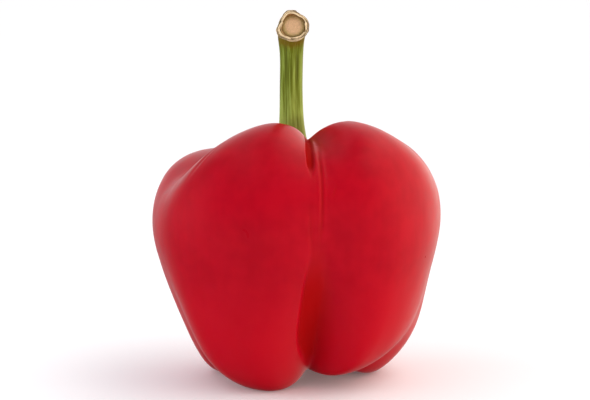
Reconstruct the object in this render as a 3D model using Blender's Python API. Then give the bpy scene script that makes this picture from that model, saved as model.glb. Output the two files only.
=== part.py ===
"""A red bell pepper: the fruit, its green calyx and its cut stem.

The pepper stands on three of its four lobes. Lengths are in metres and angles
in degrees. +Z is up, the fuller front faces -Y, and the origin is on the
surface that the pepper stands on, under the middle of its outline.
"""
import math
from dataclasses import dataclass

import bmesh
import bpy
import numpy as np

PART = "bell_pepper"

# Fruit. Its axis is where the stem grows, a little behind the middle of the outline.
FRUIT_AXIS = (-0.0003, 0.0014, 0.0000)
HOLLOW_FLOOR = 0.0640
HOLLOW_MOUTH = 0.0115
UNDERSIDE_HEIGHT = 0.0090
FRUIT_SEGMENTS = 76
FRUIT_RINGS = 48

# Stations along a meridian, from the middle of the hollow to the middle of the underside.
SHOULDER_STATION = 3
FOOT_STATION = 10
LAST_STATION = 12

# Furrows are narrow at the shoulder and the foot, and broad and soft at the waist.
FURROW_BROAD = 0.48
WAIST_DEPTH = 0.37
WAIST_SPREAD = 0.16
SIDE_DEPTH = 0.45

# Calyx: a green cap on the floor of the hollow, with a raised collar for the stem.
GAP = 0.0003
CALYX_LIFT = 0.0006
CALYX_THICKNESS = 0.0014
CALYX_REACH = 2.00
CALYX_TEETH = 6
CALYX_TOOTH_REACH = 0.14
CALYX_EDGE_SQUARENESS = 0.35
CALYX_SEGMENTS = 48
CALYX_RINGS = 16
COLLAR_RADIUS = 0.0082
COLLAR_SKIRT = 0.0030
COLLAR_HEIGHT = 0.0692

# Stem: its middle line and radius, from the foot up to the cut, which faces the front.
STEM_LINE = (
    ((-0.0003, 0.0002, 0.0670), 0.0074),
    ((-0.0007, 0.0001, 0.0720), 0.0058),
    ((-0.0011, -0.0003, 0.0770), 0.0045),
    ((-0.0014, -0.0010, 0.0850), 0.0037),
    ((-0.0014, -0.0020, 0.0950), 0.0035),
    ((-0.0012, -0.0028, 0.1040), 0.0037),
    ((-0.0010, -0.0048, 0.1094), 0.0043),
    ((-0.0009, -0.0082, 0.1120), 0.0050),
    ((-0.0008, -0.0114, 0.1129), 0.0051),
)
STEM_RIBS = 6
STEM_RIB_HEIGHT = 0.05
STEM_PROFILE_POINTS = 36
STEM_STEPS = 4
BARK_WIDTH = 0.0011
CUT_DEPTH = 0.0005
CUT_ALIGNMENT = 0.99

# Surface colours, linear, and roughness.
SKIN_RED = (0.420, 0.002, 0.010, 1.0)
SKIN_ROUGHNESS = 0.32
CALYX_GREEN = (0.085, 0.145, 0.022, 1.0)
CALYX_ROUGHNESS = 0.60
STEM_GREEN = (0.150, 0.175, 0.035, 1.0)
STEM_ROUGHNESS = 0.55


@dataclass(frozen=True)
class Rib:
    """One meridian of the fruit: the middle of a lobe, or the bottom of a furrow."""

    azimuths: tuple     # from the front towards +X, at the shoulder, the waist and the foot
    crest: tuple        # radius and height of the top of the shoulder
    fullness: float     # 2 makes a round shoulder, and more makes a squarer one
    girth: tuple        # radius and height of the widest place
    low_radius: float   # radius where the side starts to turn under
    toe: float          # how far out the toe stands, as a share of the way from foot to side
    foot: tuple         # radius and height of the lowest place
    narrow: float = 0.10                # how soft a furrow's bottom is at its shoulder and foot
    hold_before: tuple = (1.5, 2.4)     # how long the lobe before a furrow keeps its height,
    hold_after: tuple = (1.5, 2.4)      # and the lobe after it: at the shoulder, down the side


LOBES = (
    Rib((43, 47, 34), (0.0240, 0.0840), 2.30, (0.0465, 0.0540), 0.0395, 0.60, (0.0195, 0.0040)),
    Rib((128, 126, 116), (0.0270, 0.0770), 2.50, (0.0460, 0.0520), 0.0399, 0.57, (0.0230, -0.0003)),
    Rib((240, 240, 238), (0.0285, 0.0714), 2.60, (0.0460, 0.0510), 0.0355, 0.55, (0.0240, -0.0003)),
    Rib((354, 328, 338), (0.0225, 0.0838), 2.15, (0.0460, 0.0520), 0.0375, 0.57, (0.0200, -0.0003)),
)

# Each furrow comes after the lobe that has the same place in its list.
FURROWS = (
    Rib((84, 86, 58), (0.0290, 0.0730), 2.20, (0.0459, 0.0520), 0.0386, 0.62, (0.0175, 0.0058)),
    Rib((188, 186, 184), (0.0200, 0.0680), 2.10, (0.0400, 0.0500), 0.0310, 0.58, (0.0110, 0.0060)),
    Rib((268, 284, 286), (0.0220, 0.0695), 1.90, (0.0448, 0.0490), 0.0345, 0.60, (0.0180, 0.0036)),
    Rib(
        (377, 373.5, 379), (0.0170, 0.0775), 2.10, (0.0412, 0.0550), 0.0228, 0.55, (0.0118, 0.0048),
        narrow=0.05, hold_before=(1.9, 2.1), hold_after=(3.0, 2.4),
    ),
)


def between(start, end, share):
    """The value that lies a share of the way from start to end."""
    return start + (end - start) * share


def rib_stations(rib):
    """Radius and height of a rib at each station, from the hollow to the underside."""
    crest_r, crest_z = rib.crest
    girth_r, girth_z = rib.girth
    foot_r, foot_z = rib.foot
    low_r = rib.low_radius
    shoulder = 2 ** (-1 / rib.fullness)
    return np.array([
        (0.0, HOLLOW_FLOOR),
        (HOLLOW_MOUTH * 0.52, between(HOLLOW_FLOOR, crest_z, 0.02)),
        (HOLLOW_MOUTH, between(HOLLOW_FLOOR, crest_z, 0.22)),
        (between(HOLLOW_MOUTH, crest_r, 0.55), between(HOLLOW_FLOOR, crest_z, 0.78)),
        (crest_r, crest_z),
        (between(crest_r, girth_r, shoulder), between(girth_z, crest_z, shoulder)),
        (girth_r, girth_z),
        (between(low_r, girth_r, 0.62), between(foot_z, girth_z, 0.64)),
        (low_r, between(foot_z, girth_z, 0.32)),
        (between(foot_r, low_r, rib.toe), between(foot_z, girth_z, 0.09)),
        (foot_r, foot_z),
        (foot_r * 0.5, between(foot_z, UNDERSIDE_HEIGHT, 0.55)),
        (0.0, UNDERSIDE_HEIGHT),
    ])


def smooth_through(stations, at):
    """Reads a natural cubic spline through evenly spaced stations at the places given."""
    count = len(stations)
    system = np.eye(count)
    turn = np.zeros_like(stations)
    for i in range(1, count - 1):
        system[i, i - 1:i + 2] = (1, 4, 1)
        turn[i] = 6 * (stations[i - 1] - 2 * stations[i] + stations[i + 1])
    bend = np.linalg.solve(system, turn)
    cell = np.clip(np.floor(at).astype(int), 0, count - 2)
    after = (at - cell)[:, None]
    before = 1 - after
    straight = before * stations[cell] + after * stations[cell + 1]
    return straight + ((before ** 3 - before) * bend[cell] + (after ** 3 - after) * bend[cell + 1]) / 6


def azimuth_at(rib, depth):
    """Azimuth of a rib at a depth that runs from 0 at the shoulder to 1 at the foot."""
    top, middle, bottom = rib.azimuths
    return (
        top * (1 - depth) * (1 - 2 * depth)
        + middle * 4 * depth * (1 - depth)
        + bottom * depth * (2 * depth - 1)
    )


def fruit_points(azimuth, station):
    """Points on the skin of the fruit, about its own axis, for arrays of azimuth and station."""
    depth = np.clip((station - SHOULDER_STATION) / (FOOT_STATION - SHOULDER_STATION), 0, 1)
    waist = np.exp(-((depth - WAIST_DEPTH) / WAIST_SPREAD) ** 2)
    profile = np.zeros((len(azimuth), 2))
    for i, lobe in enumerate(LOBES):
        lobe_azimuth = azimuth_at(lobe, depth)
        lobe_profile = smooth_through(rib_stations(lobe), station)
        next_furrow = (FURROWS[i], 1, FURROWS[i].hold_before)
        last_furrow = (FURROWS[i - 1], -1, FURROWS[i - 1].hold_after)
        for furrow, side, (shoulder_hold, side_hold) in (next_furrow, last_furrow):
            reach = side * (azimuth_at(furrow, depth) - lobe_azimuth) % 360
            offset = side * (azimuth - lobe_azimuth) % 360
            here = offset <= reach
            inward = np.clip(1 - offset / reach, 0, 1)
            softness = between(furrow.narrow, FURROW_BROAD, waist)
            rounded = (np.hypot(inward, softness) - softness) / (np.hypot(1, softness) - softness)
            hold = between(shoulder_hold, side_hold, np.clip(depth / SIDE_DEPTH, 0, 1))
            share = ((1 - rounded) ** hold)[:, None]
            furrow_profile = smooth_through(rib_stations(furrow), station)
            profile[here] = between(lobe_profile, furrow_profile, share)[here]
    angle = np.radians(azimuth)
    radius, height = profile[:, 0], profile[:, 1]
    return np.stack([radius * np.sin(angle), -radius * np.cos(angle), height], axis=1)


def fruit_surface(azimuth, polar):
    """The fruit's skin, with its three low feet cut flat where they stand."""
    points = fruit_points(azimuth, LAST_STATION * polar)
    points[:, 2] = np.maximum(points[:, 2], 0.0)
    return points


def calyx_surface(azimuth, polar):
    """The calyx, whose underside follows the hollow and whose top rises to the collar."""
    out = np.sin(math.pi * polar)
    up = np.cos(math.pi * polar)
    tooth = np.cos(np.radians(CALYX_TEETH * azimuth))
    points = fruit_points(azimuth, (CALYX_REACH + CALYX_TOOTH_REACH * tooth) * out)
    side = np.sign(up) * np.abs(up) ** CALYX_EDGE_SQUARENESS
    points[:, 2] += CALYX_LIFT + CALYX_THICKNESS * (1 + side) / 2
    fall = np.clip((np.hypot(points[:, 0], points[:, 1]) - COLLAR_RADIUS) / COLLAR_SKIRT, 0, 1)
    raised = np.where(up > 0, 1 - fall ** 2 * (3 - 2 * fall), 0)
    points[:, 2] = between(points[:, 2], COLLAR_HEIGHT, raised)
    return points


def make_material(name, colour, roughness):
    """A Principled BSDF material with one colour and one roughness."""
    material = bpy.data.materials.new(name)
    material.use_nodes = True
    shader = material.node_tree.nodes["Principled BSDF"]
    shader.inputs["Base Color"].default_value = colour
    shader.inputs["Roughness"].default_value = roughness
    shader.inputs["Metallic"].default_value = 0.0
    return material


def make_collection(name):
    """A collection under the scene's own."""
    collection = bpy.data.collections.new(name)
    bpy.context.scene.collection.children.link(collection)
    return collection


def add_part(name, mesh, material, collection, parent):
    """Puts a smooth-shaded mesh in the scene as one named piece of the pepper."""
    mesh.shade_smooth()
    mesh.materials.append(material)
    piece = bpy.data.objects.new(name, mesh)
    piece.parent = parent
    collection.objects.link(piece)
    return piece


def shaped_sphere(name, segments, rings, surface):
    """A UV sphere with every vertex moved to the surface point of its own direction."""
    shell = bmesh.new()
    bmesh.ops.create_uvsphere(shell, u_segments=segments, v_segments=rings, radius=1.0)
    unit = np.array([vertex.co[:] for vertex in shell.verts])
    azimuth = np.degrees(np.arctan2(unit[:, 0], -unit[:, 1])) % 360
    polar = np.arccos(np.clip(unit[:, 2], -1, 1)) / math.pi
    for vertex, point in zip(shell.verts, surface(azimuth, polar)):
        vertex.co = point
    bmesh.ops.recalc_face_normals(shell, faces=shell.faces)
    mesh = bpy.data.meshes.new(name)
    shell.to_mesh(mesh)
    shell.free()
    return mesh


def make_stem_profile(guides):
    """The closed outline of the stem across its length, at a radius of 1, with its ribs."""
    data = bpy.data.curves.new("stem_profile", "CURVE")
    outline = data.splines.new("POLY")
    outline.points.add(STEM_PROFILE_POINTS - 1)
    outline.use_cyclic_u = True
    for i, point in enumerate(outline.points):
        angle = 2 * math.pi * i / STEM_PROFILE_POINTS
        radius = 1 + STEM_RIB_HEIGHT * math.cos(STEM_RIBS * angle)
        point.co = (radius * math.cos(angle), radius * math.sin(angle), 0, 1)
    profile = bpy.data.objects.new("stem_profile", data)
    profile.hide_render = True
    profile.display_type = "WIRE"
    guides.objects.link(profile)
    return profile


def make_stem_tube(guides):
    """The stem as a curve that carries the ribbed profile, closed at both ends."""
    data = bpy.data.curves.new("stem_line", "CURVE")
    data.dimensions = "3D"
    data.resolution_u = STEM_STEPS
    data.bevel_mode = "OBJECT"
    data.bevel_object = make_stem_profile(guides)
    data.use_fill_caps = True
    line = data.splines.new("BEZIER")
    line.bezier_points.add(len(STEM_LINE) - 1)
    for point, (place, radius) in zip(line.bezier_points, STEM_LINE):
        point.co = place
        point.radius = radius
        point.handle_left_type = "AUTO"
        point.handle_right_type = "AUTO"
    tube = bpy.data.objects.new("stem_line", data)
    guides.objects.link(tube)
    return tube


def cut_foot(shell):
    """Cuts the stem's foot flat, a gap above the collar, and closes it."""
    cut = bmesh.ops.bisect_plane(
        shell,
        geom=shell.verts[:] + shell.edges[:] + shell.faces[:],
        plane_co=(0, 0, COLLAR_HEIGHT + GAP),
        plane_no=(0, 0, 1),
        clear_inner=True,
    )
    rim = [item for item in cut["geom_cut"] if isinstance(item, bmesh.types.BMEdge)]
    bmesh.ops.contextual_create(shell, geom=rim)


def sink_cut_end(shell):
    """Insets the cut end and sinks it, which leaves a rim of bark round it."""
    front = min(shell.faces, key=lambda face: face.calc_center_median().y)
    cut_end = [face for face in shell.faces if face.normal.dot(front.normal) > CUT_ALIGNMENT]
    bmesh.ops.inset_region(shell, faces=cut_end, thickness=BARK_WIDTH, depth=-CUT_DEPTH)


def make_stem_mesh(guides):
    """The stem as one closed mesh with a flat foot and a sunk cut end."""
    tube = make_stem_tube(guides)
    bpy.context.view_layer.update()
    evaluated = tube.evaluated_get(bpy.context.evaluated_depsgraph_get())
    mesh = bpy.data.meshes.new_from_object(evaluated)
    mesh.name = "stem"
    shell = bmesh.new()
    shell.from_mesh(mesh)
    bmesh.ops.remove_doubles(shell, verts=shell.verts, dist=0.00001)
    cut_foot(shell)
    sink_cut_end(shell)
    bmesh.ops.recalc_face_normals(shell, faces=shell.faces)
    shell.to_mesh(mesh)
    shell.free()
    profile = tube.data.bevel_object
    bpy.data.objects.remove(tube)
    bpy.data.objects.remove(profile)
    return mesh


def clear_scene():
    """Removes whatever the scene holds."""
    for item in list(bpy.data.objects):
        bpy.data.objects.remove(item)


def build():
    """Models the pepper's three pieces about the axis of the fruit."""
    clear_scene()
    parts = make_collection(PART)
    guides = make_collection("cutters")
    axis = bpy.data.objects.new("pepper_axis", None)
    axis.location = FRUIT_AXIS
    parts.objects.link(axis)

    skin = make_material("pepper_skin", SKIN_RED, SKIN_ROUGHNESS)
    fruit = shaped_sphere("fruit", FRUIT_SEGMENTS, FRUIT_RINGS, fruit_surface)
    add_part("fruit", fruit, skin, parts, axis)

    calyx_green = make_material("calyx_green", CALYX_GREEN, CALYX_ROUGHNESS)
    calyx = shaped_sphere("calyx", CALYX_SEGMENTS, CALYX_RINGS, calyx_surface)
    add_part("calyx", calyx, calyx_green, parts, axis)

    stem_green = make_material("stem_green", STEM_GREEN, STEM_ROUGHNESS)
    stem = add_part("stem", make_stem_mesh(guides), stem_green, parts, axis)
    stem.data.set_sharp_from_angle(angle=math.radians(50))


build()
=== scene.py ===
"""A red bell pepper, standing upright, with its green calyx and its cut stem.

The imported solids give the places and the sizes. Finer meshes stand for them:
the fruit with its folds, the calyx with its veins, and the stem with its ribs,
its torn bark and the fibres round its cut. Lengths are in metres and angles in
degrees. +Z is up, the front faces -Y, and the camera looks along +Y.
"""
import logging
import math
from dataclasses import dataclass
from enum import Enum
from typing import Any, Callable, Sequence

import bpy
import numpy as np
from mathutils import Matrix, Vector, noise


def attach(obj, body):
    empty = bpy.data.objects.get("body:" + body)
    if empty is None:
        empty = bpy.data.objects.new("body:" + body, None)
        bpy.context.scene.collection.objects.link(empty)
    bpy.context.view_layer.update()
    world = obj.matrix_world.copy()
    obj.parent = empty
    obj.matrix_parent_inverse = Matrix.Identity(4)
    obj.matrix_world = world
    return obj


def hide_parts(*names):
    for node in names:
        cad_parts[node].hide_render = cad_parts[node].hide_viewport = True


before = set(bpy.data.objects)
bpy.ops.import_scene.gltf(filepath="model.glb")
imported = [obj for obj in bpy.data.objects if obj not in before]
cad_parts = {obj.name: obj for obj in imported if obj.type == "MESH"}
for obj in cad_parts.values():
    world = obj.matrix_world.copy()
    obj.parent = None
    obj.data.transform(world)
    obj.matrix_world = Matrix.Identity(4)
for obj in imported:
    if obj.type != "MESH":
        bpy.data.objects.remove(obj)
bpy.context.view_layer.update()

BODY = "root"

MM = 0.001
FRUIT_AXIS = np.array((-0.0003, 0.0014, 0.0))

log = logging.getLogger("pepper")


class Slot(Enum):
    """The record's material slots, one for each kind of surface."""

    SKIN = "skin"
    CALYX = "calyx"
    STEM = "stem"


def linear(code: str, alpha: float = 1.0) -> tuple[float, float, float, float]:
    """Turns an sRGB hex colour into the linear one that shaders take.

    Args:
        code: Six hex digits.
        alpha: Opacity.

    Returns:
        Red, green, blue and alpha.
    """
    parts = [int(code[i:i + 2], 16) / 255 for i in (0, 2, 4)]
    red, green, blue = [c / 12.92 if c <= 0.04045 else ((c + 0.055) / 1.055) ** 2.4 for c in parts]
    return red, green, blue, alpha


def between(start: Any, end: Any, share: Any) -> Any:
    """The value that lies a share of the way from start to end."""
    return start + (end - start) * share


def ease(value: Any, start: float = 0.0, length: float = 1.0) -> Any:
    """A smooth step from 0 to 1 as the value goes from the start to a length past it."""
    held = np.clip((value - start) / length, 0, 1)
    return held * held * (3 - 2 * held)


def band(value: Any, start: float, rise: float, end: float, fall: float) -> Any:
    """Weighs places: 1 between start and end, and 0 beyond them, with an eased step at each.

    Args:
        value: The places.
        start: Where the first step starts.
        rise: How long that step is.
        end: Where the second step ends.
        fall: How long that one is.

    Returns:
        One weight for each place.
    """
    return ease(value, start, rise) * ease(value, end, -fall)


def degrees_past(angle: Any, other: Any) -> Any:
    """How far an angle lies past another one, from -180 to 180 degrees."""
    return (angle - other + 180) % 360 - 180


def past_path(path: tuple, azimuth: np.ndarray, station: np.ndarray) -> np.ndarray:
    """How far points lie past a path on the fruit's skin.

    Args:
        path: (station, azimuth) from the top down.
        azimuth: Each point's azimuth.
        station: Each point's station.

    Returns:
        Degrees, negative for a point that lies before the path.
    """
    stations, azimuths = zip(*path)
    return degrees_past(azimuth, np.interp(station, stations, azimuths))


def wrapped(turn: np.ndarray, along: np.ndarray, spread: Sequence[float]) -> np.ndarray:
    """Lays a pattern round an axis, so that it meets itself without a seam.

    Args:
        turn: Angles round the axis, in radians.
        along: How far along the axis, or out from it, each point is.
        spread: How far the pattern spreads along its three directions, the last of them along.

    Returns:
        One place in the pattern for each point.
    """
    return np.stack([np.cos(turn), np.sin(turn), along], axis=1) * spread


def smooth_through(stations: np.ndarray, at: np.ndarray) -> np.ndarray:
    """Reads a natural cubic spline through evenly spaced stations.

    Args:
        stations: One row of values for each station.
        at: Places to read, where 1.0 is the second station.

    Returns:
        One row of values for each place.
    """
    count = len(stations)
    system = np.eye(count)
    turn = np.zeros_like(stations)
    for i in range(1, count - 1):
        system[i, i - 1:i + 2] = (1, 4, 1)
        turn[i] = 6 * (stations[i - 1] - 2 * stations[i] + stations[i + 1])
    bend = np.linalg.solve(system, turn)
    cell = np.clip(np.floor(at).astype(int), 0, count - 2)
    after = (at - cell)[:, None]
    before = 1 - after
    straight = before * stations[cell] + after * stations[cell + 1]
    return straight + ((before ** 3 - before) * bend[cell] + (after ** 3 - after) * bend[cell + 1]) / 6


def noise_at(places: np.ndarray, size: Any) -> np.ndarray:
    """Smooth noise from -1 to 1 at each place, with features about as large as size.

    Args:
        places: Points, one a row.
        size: Feature size, one number or one for each axis.

    Returns:
        One value for each point.
    """
    return np.array([noise.noise(Vector(place)) for place in places / size])


def add_node(
    tree: bpy.types.NodeTree,
    kind: str,
    settings: dict[Any, Any] | None = None,
    links: dict[Any, bpy.types.NodeSocket] | None = None,
    stops: Sequence[tuple[float, tuple]] = (),
) -> bpy.types.Node:
    """Adds a shader node with its settings and its links.

    Args:
        tree: The node tree it goes in.
        kind: Its type name.
        settings: Properties by name, and input values by socket name or number.
        links: Output sockets, by the name or number of the input each one feeds.
        stops: Places and colours of a colour ramp.

    Returns:
        The new node.
    """
    node = tree.nodes.new(kind)
    for key, value in (settings or {}).items():
        if isinstance(key, str) and hasattr(node, key):
            setattr(node, key, value)
        else:
            node.inputs[key].default_value = value
    for key, output in (links or {}).items():
        tree.links.new(output, node.inputs[key])
    for i, (place, colour) in enumerate(stops):
        element = node.color_ramp.elements[i] if i < 2 else node.color_ramp.elements.new(place)
        element.position = place
        element.color = colour
    return node


Paint = tuple[bpy.types.NodeSocket, bpy.types.NodeSocket | None]     # colour, height of the bumps


@dataclass(frozen=True)
class Finish:
    """What every finish has: a name, the way it turns light back, and its fine relief."""

    name: str
    roughness: float
    ior: float
    specular: float
    relief: float       # how high its finest bumps stand
    bump: float         # how strongly they show

    def dress(self, piece: bpy.types.Object) -> None:
        """Makes the material and puts it last on the piece.

        Args:
            piece: The mesh object to dress.
        """
        material = bpy.data.materials.new(self.name)
        material.use_nodes = True
        tree = material.node_tree
        shader = tree.nodes["Principled BSDF"]
        shader.inputs["Roughness"].default_value = self.roughness
        shader.inputs["IOR"].default_value = self.ior
        shader.inputs["Specular IOR Level"].default_value = self.specular
        colour, height = self.paint(tree, shader)
        tree.links.new(colour, shader.inputs["Base Color"])
        if height is not None:
            bump = add_node(
                tree, "ShaderNodeBump", {"Strength": self.bump, "Distance": self.relief}, {"Height": height},
            )
            tree.links.new(bump.outputs[0], shader.inputs["Normal"])
        piece.data.materials.append(material)

    def paint(self, tree: bpy.types.NodeTree, shader: bpy.types.Node) -> Paint:
        """Adds the nodes of this finish. Each kind of finish has its own."""
        raise NotImplementedError


@dataclass(frozen=True)
class PepperSkin(Finish):
    """Ripe pepper skin: a thin waxy cuticle over deep red flesh.

    The eye sees one saturated red with a soft satin sheen towards the edges and slow
    changes of depth from patch to patch. The darker red in the folds is painted shade, and
    the lighter red low down is painted light from below.
    """

    name: str = "waxy_pepper_skin"
    roughness: float = 0.31
    ior: float = 1.45
    specular: float = 0.15
    deep: str = "A5021A"
    bright: str = "B0041D"
    # a lighter red low down on the fruit, which is painted light from below
    low: str = "B7051D"
    painted_light_from: float = 18 * MM       # heights between which the lighter low red, painted light from below, gives way to the patches' red
    painted_light_to: float = 42 * MM
    # painted shade: the darker red mixed in along the folds and pockets
    painted_fold_shade: str = "A00000"
    scar: str = "A07A50"
    dulled: float = 0.60            # how much rougher the skin is in a fold, where its bloom stays on
    patch_size: float = 16 * MM
    mottle_size: float = 4.0 * MM
    pore_size: float = 0.9 * MM     # a real pore is 0.05 mm, too fine to show, so it is drawn coarser
    streak_size: tuple = (2.2 * MM, 2.2 * MM, 22 * MM)
    relief: float = 0.02 * MM
    bump: float = 0.4
    mottle_share: float = 0.55      # how much the mottling counts beside the patches
    streak_share: float = 0.45      # and the streaks
    pore_share: float = 0.12        # how high the pores stand beside the mottling
    wear: tuple = (-0.05, 0.06)     # how far the roughness varies
    translucence: float = 0.35
    glow: float = 2.5 * MM          # how far red light travels inside the flesh
    glow_shares: tuple = (1.0, 0.12, 0.08)      # shares of that for red, green and blue light

    def paint(self, tree: bpy.types.NodeTree, shader: bpy.types.Node) -> Paint:
        """Adds patches, mottling, streaks, pores, painted shade in the folds and painted light low down.

        Args:
            tree: The material's nodes.
            shader: Its Principled BSDF.

        Returns:
            The colour, and the height of the bumps.
        """
        place = add_node(tree, "ShaderNodeTexCoord").outputs["Object"]
        patch = add_node(
            tree, "ShaderNodeTexNoise",
            {"Scale": 1 / self.patch_size, "Detail": 3.0, "Roughness": 0.55}, {"Vector": place},
        )
        mottle = add_node(
            tree, "ShaderNodeTexNoise",
            {"Scale": 1 / self.mottle_size, "Detail": 1.0, "Roughness": 0.5}, {"Vector": place},
        )
        lengthwise = add_node(
            tree, "ShaderNodeMapping", {"Scale": tuple(1 / size for size in self.streak_size)},
            {"Vector": place},
        )
        streak = add_node(
            tree, "ShaderNodeTexNoise", {"Scale": 1.0, "Detail": 2.0}, {"Vector": lengthwise.outputs[0]},
        )
        pore = add_node(
            tree, "ShaderNodeTexNoise", {"Scale": 1 / self.pore_size, "Detail": 1.0}, {"Vector": place},
        )
        patch_and_mottle = add_node(
            tree, "ShaderNodeMath", {"operation": "MULTIPLY_ADD", 1: self.mottle_share},
            {0: mottle.outputs[0], 2: patch.outputs[0]},
        )
        with_streaks = add_node(
            tree, "ShaderNodeMath", {"operation": "MULTIPLY_ADD", 1: self.streak_share},
            {0: streak.outputs[0], 2: patch_and_mottle.outputs[0]},
        )
        depth = add_node(
            tree, "ShaderNodeMapRange", {"From Min": 0.80, "From Max": 1.20},
            {"Value": with_streaks.outputs[0]},
        )
        red = add_node(
            tree, "ShaderNodeMix", {"data_type": "RGBA", 6: linear(self.deep), 7: linear(self.bright)},
            {0: depth.outputs[0]},
        )
        parts = add_node(tree, "ShaderNodeSeparateXYZ", None, {0: place})
        painted_low_light = add_node(
            tree, "ShaderNodeMapRange",
            {"From Min": self.painted_light_from, "From Max": self.painted_light_to, "To Min": 1.0, "To Max": 0.0},
            {"Value": parts.outputs["Z"]},
        )
        # how much painted shade each point of the skin takes
        fold = add_node(tree, "ShaderNodeAttribute", {"attribute_name": "fold"})
        scar = add_node(tree, "ShaderNodeAttribute", {"attribute_name": "scar"})
        coloured = red
        # over the patches' red: the lighter low red, which is painted light from below; painted shade in the
        # folds; and the scar's own brown
        for share, colour in (
            (painted_low_light.outputs[0], self.low),
            (fold.outputs["Fac"], self.painted_fold_shade),
            (scar.outputs["Fac"], self.scar),
        ):
            coloured = add_node(
                tree, "ShaderNodeMix", {"data_type": "RGBA", 7: linear(colour)},
                {0: share, 6: coloured.outputs[2]},
            )
        smoothest, roughest = [self.roughness + part for part in self.wear]
        worn = add_node(
            tree, "ShaderNodeMapRange",
            {"From Min": 0.1, "From Max": 0.9, "To Min": smoothest, "To Max": roughest},
            {"Value": mottle.outputs[0]},
        )
        rough = add_node(
            tree, "ShaderNodeMath", {"operation": "MULTIPLY_ADD", 1: self.dulled},
            {0: fold.outputs["Fac"], 2: worn.outputs[0]},
        )
        tree.links.new(rough.outputs[0], shader.inputs["Roughness"])
        height = add_node(
            tree, "ShaderNodeMath", {"operation": "MULTIPLY_ADD", 1: self.pore_share},
            {0: pore.outputs[0], 2: mottle.outputs[0]},
        )
        shader.inputs["Subsurface Weight"].default_value = self.translucence
        shader.inputs["Subsurface Radius"].default_value = self.glow_shares
        shader.inputs["Subsurface Scale"].default_value = self.glow
        return coloured.outputs[2], height.outputs[0]


@dataclass(frozen=True)
class StemBark(Finish):
    """The skin of a cut pepper stalk: smooth green fibre, with painted shade in its furrows and painted light
    on its ribs.

    The eye sees fine lengthwise streaks of olive and yellow green, a dry brown neck
    under the cut, and a dull, slightly waxy surface.
    """

    name: str = "ribbed_stalk_bark"
    roughness: float = 0.48
    ior: float = 1.45
    specular: float = 0.35
    dark: str = "4A5004"
    middle: str = "647212"
    pale: str = "98AE50"
    dry: str = "6E5C12"
    streak_size: tuple = (0.55 * MM, 0.55 * MM, 9 * MM)
    vein_size: tuple = (1.5 * MM, 1.5 * MM, 24 * MM)
    relief: float = 0.10 * MM
    bump: float = 0.7
    vein_share: float = 0.9         # how much the veins count beside the streaks
    foot_paleness_and_light: float = 0.57     # how much paler the foot is: partly its own paler green, partly painted light where the lobes shade it

    def paint(self, tree: bpy.types.NodeTree, shader: bpy.types.Node) -> Paint:
        """Adds streaks that run along the stalk, painted light and shade on its ribs, a paler foot that is
        partly painted light, and the dry neck.

        Args:
            tree: The material's nodes.
            shader: Its Principled BSDF, not used here.

        Returns:
            The colour, and the height of the bumps.
        """
        along = add_node(tree, "ShaderNodeAttribute", {"attribute_name": "straight"}).outputs["Vector"]
        heights = []
        for size in (self.streak_size, self.vein_size):
            scaled = add_node(
                tree, "ShaderNodeMapping", {"Scale": tuple(1 / length for length in size)}, {"Vector": along},
            )
            streak = add_node(
                tree, "ShaderNodeTexNoise", {"Scale": 1.0, "Detail": 4.0, "Roughness": 0.6},
                {"Vector": scaled.outputs[0]},
            )
            heights.append(streak.outputs[0])
        mixed = add_node(
            tree, "ShaderNodeMath", {"operation": "MULTIPLY_ADD", 1: self.vein_share},
            {0: heights[1], 2: heights[0]},
        )
        pale = add_node(tree, "ShaderNodeAttribute", {"attribute_name": "pale"})
        streaked = add_node(
            tree, "ShaderNodeMath", {"operation": "ADD"}, {0: pale.outputs["Fac"], 1: mixed.outputs[0]},
        )
        foot = add_node(tree, "ShaderNodeAttribute", {"attribute_name": "foot"})
        at_foot = add_node(
            tree, "ShaderNodeMath", {"operation": "MULTIPLY_ADD", 1: self.foot_paleness_and_light},
            {0: foot.outputs["Fac"], 2: streaked.outputs[0]},
        )
        shade = add_node(
            tree, "ShaderNodeMapRange", {"From Min": 0.62, "From Max": 1.28}, {"Value": at_foot.outputs[0]},
        )
        green = add_node(
            tree, "ShaderNodeValToRGB", None, {"Fac": shade.outputs[0]},
            [(0.10, linear(self.dark)), (0.50, linear(self.middle)), (0.92, linear(self.pale))],
        )
        neck = add_node(tree, "ShaderNodeAttribute", {"attribute_name": "dry"})
        coloured = add_node(
            tree, "ShaderNodeMix", {"data_type": "RGBA", 7: linear(self.dry)},
            {0: neck.outputs["Fac"], 6: green.outputs[0]},
        )
        return coloured.outputs[2], heights[0]


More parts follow.
